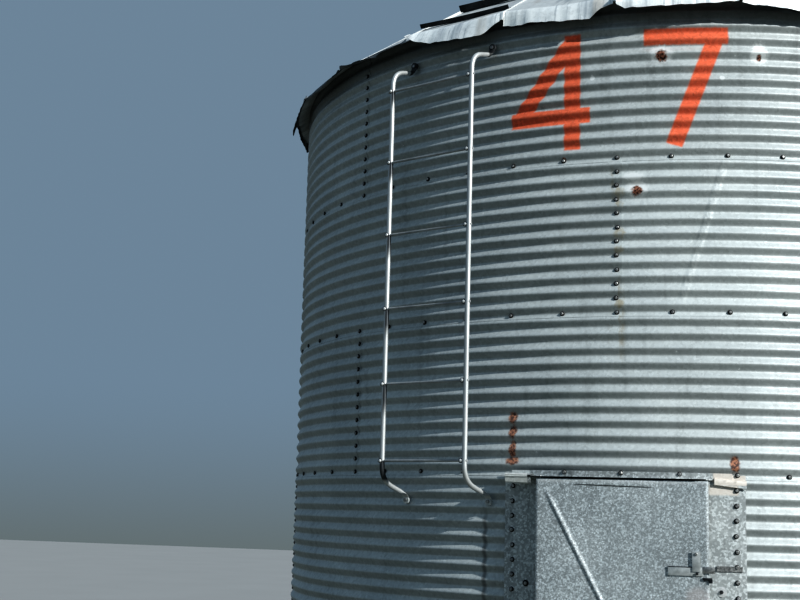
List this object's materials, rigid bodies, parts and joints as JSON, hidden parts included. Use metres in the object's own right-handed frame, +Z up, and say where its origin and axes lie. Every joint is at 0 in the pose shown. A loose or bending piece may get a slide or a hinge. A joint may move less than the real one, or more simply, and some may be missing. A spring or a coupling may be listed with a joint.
{
  "type": "grain silo",
  "caption": "Round farm grain bin of corrugated galvanised sheet with a ribbed conical roof, a hinged walk-in door at its foot and a fixed wall ladder.",
  "frame": {"origin": "centre of the bottom plate's underside, on the silo's axis", "axes": "+Z up along the silo's axis, the door faces -Y, the ladder stands on the wall between -Y and -X"},
  "size_m": [4.7226, 4.7196, 5.2336],
  "materials": {
    "wall_steel": "weathered galvanised sheet, dull, faint spangle",
    "roof_steel": "weathered galvanised sheet with dark stains",
    "bottom_plate": "dull galvanised plate",
    "door_steel": "galvanised sheet with a coarse spangle",
    "latch_steel": "weathered steel with some rust",
    "ladder_steel": "bright galvanised tube"
  },
  "bodies": {
    "silo": {"ring_1_sheet_1_left": "wall_steel", "ring_1_sheet_1_right": "wall_steel", "ring_1_sheet_2": "wall_steel", "ring_1_sheet_3": "wall_steel", "ring_1_sheet_4": "wall_steel", "ring_1_sheet_5": "wall_steel", "ring_2_sheet_1": "wall_steel", "ring_2_sheet_2": "wall_steel", "ring_2_sheet_3": "wall_steel", "ring_2_sheet_4": "wall_steel", "ring_2_sheet_5": "wall_steel", "ring_3_sheet_1": "wall_steel", "ring_3_sheet_2": "wall_steel", "ring_3_sheet_3": "wall_steel", "ring_3_sheet_4": "wall_steel", "ring_3_sheet_5": "wall_steel", "ring_4_sheet_1": "wall_steel", "ring_4_sheet_2": "wall_steel", "ring_4_sheet_3": "wall_steel", "ring_4_sheet_4": "wall_steel", "ring_4_sheet_5": "wall_steel", "ring_5_sheet_1": "wall_steel", "ring_5_sheet_2": "wall_steel", "ring_5_sheet_3": "wall_steel", "ring_5_sheet_4": "wall_steel", "ring_5_sheet_5": "wall_steel", "roof_sector_1": "roof_steel", "roof_sector_2": "roof_steel", "roof_sector_3": "roof_steel", "roof_sector_4": "roof_steel", "roof_sector_5": "roof_steel", "roof_cap": "roof_steel", "roof_step_1": "roof_steel", "roof_step_2": "roof_steel", "roof_step_3": "roof_steel", "roof_step_4": "roof_steel", "roof_step_5": "roof_steel", "roof_step_6": "roof_steel", "bottom_plate": "bottom_plate", "door_frame": "door_steel", "hinge_pin_bottom": "latch_steel", "hinge_pin_top": "latch_steel", "latch_keeper": "latch_steel", "ladder_stile_left": "ladder_steel", "ladder_stile_right": "ladder_steel", "ladder_rung_1": "ladder_steel", "ladder_rung_2": "ladder_steel", "ladder_rung_3": "ladder_steel", "ladder_rung_4": "ladder_steel", "ladder_rung_5": "ladder_steel", "ladder_rung_6": "ladder_steel"},
    "door": {"door_panel": "door_steel", "door_latch": "latch_steel"}
  },
  "joints": [
    {"name": "door_swing", "type": "hinge", "parent": "silo", "child": "door", "pos_m": [-0.35, -2.293, 0.75], "axis": [0, 0, -1], "range_deg": [0, 120]}
  ]
}
